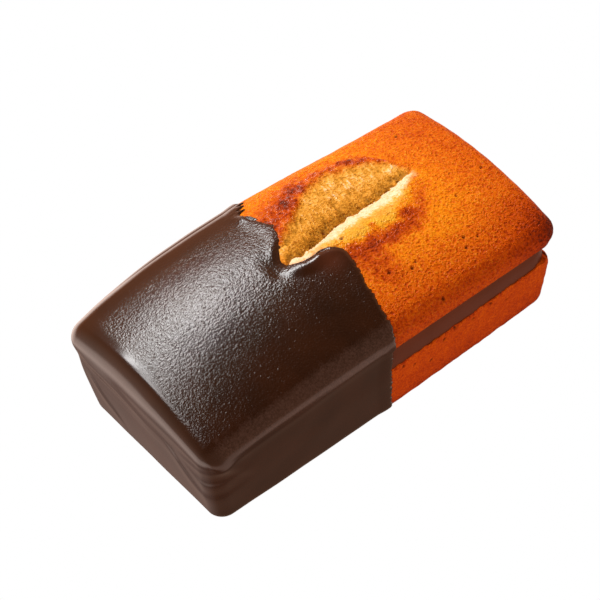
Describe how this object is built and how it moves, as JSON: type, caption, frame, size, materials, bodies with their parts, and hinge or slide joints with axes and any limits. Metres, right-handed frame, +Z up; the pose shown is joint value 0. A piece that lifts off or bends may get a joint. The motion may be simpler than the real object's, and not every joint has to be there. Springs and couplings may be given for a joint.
{
  "type": "half-dipped financier cake",
  "caption": "Small loaf-shaped almond cake in two baked layers with a chocolate cream filling, burst open along its crown, and dipped over half its length in dark chocolate.",
  "frame": {"origin": "under the middle of the object, on the plane that it rests on", "axes": "+Z up, +X along the length towards the bare end, -Y the long side that the picture shows"},
  "size_m": [0.085, 0.046, 0.0304],
  "materials": {
    "baked_crust": "golden orange baked crumb, fine pebbly grain, browner towards the rim, pale cream where it has burst open",
    "baked_side": "orange brown baked side, fine pores, darker towards the foot",
    "chocolate_cream": "satin milk chocolate brown, smooth",
    "dark_chocolate": "dark chocolate, satin gloss with a fine grainy top and smooth rippled sides"
  },
  "bodies": {
    "root": {"cake_base": "baked_side", "filling": "chocolate_cream", "cake_top": "baked_crust", "coating": "dark_chocolate"}
  },
  "joints": []
}
